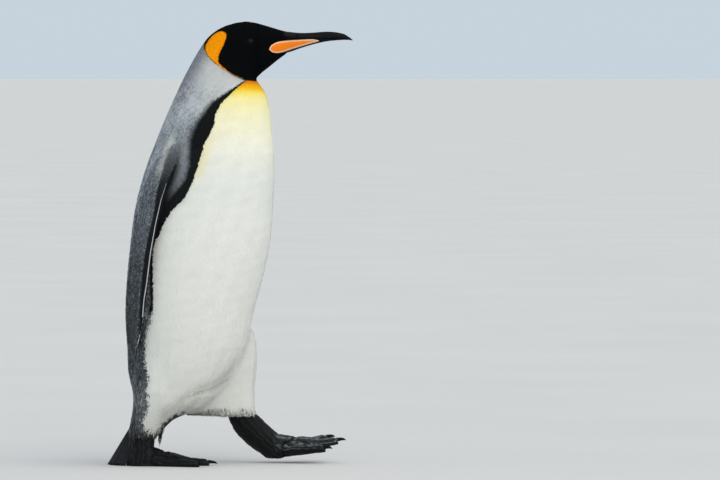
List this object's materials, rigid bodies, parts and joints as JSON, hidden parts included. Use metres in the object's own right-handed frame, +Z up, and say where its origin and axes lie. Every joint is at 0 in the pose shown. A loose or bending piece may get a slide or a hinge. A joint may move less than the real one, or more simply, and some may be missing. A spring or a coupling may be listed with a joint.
{
  "type": "king penguin model",
  "caption": "Life-size king penguin in mid stride, standing on its right foot with the left foot swung forward just clear of the floor.",
  "frame": {"origin": "on the floor, at the middle of the bird's box seen from above", "axes": "+X the way the beak points and the bird walks, +Y the bird's left, +Z up"},
  "size_m": [0.4899, 0.2417, 0.887],
  "materials": {
    "plumage_white": "soft white plumage",
    "plumage_dark": "slate plumage, silver-tipped",
    "plumage_grey": "smooth silver-grey plumage",
    "plumage_black": "velvety black plumage",
    "bill_horn": "satin black horn",
    "bill_plate": "satin orange plate",
    "foot_skin": "dry black scaly skin",
    "claw_horn": "satin black horn",
    "eye": "wet dark brown"
  },
  "bodies": {
    "root": {"trunk": "plumage_white", "neck": "plumage_grey", "head": "plumage_black", "bill_upper": "bill_horn", "bill_lower": "bill_horn", "bill_plate_left": "bill_plate", "bill_plate_right": "bill_plate", "eye_left": "eye", "eye_right": "eye", "flipper_left": "plumage_dark", "flipper_right": "plumage_dark", "leg_left": "plumage_white", "leg_right": "plumage_white", "tarsus_left": "foot_skin", "tarsus_right": "foot_skin", "foot_left": "foot_skin", "foot_right": "foot_skin", "tail": "plumage_dark", "claw_left_inner": "claw_horn", "claw_left_middle": "claw_horn", "claw_left_outer": "claw_horn", "claw_right_inner": "claw_horn", "claw_right_middle": "claw_horn", "claw_right_outer": "claw_horn"}
  },
  "joints": []
}
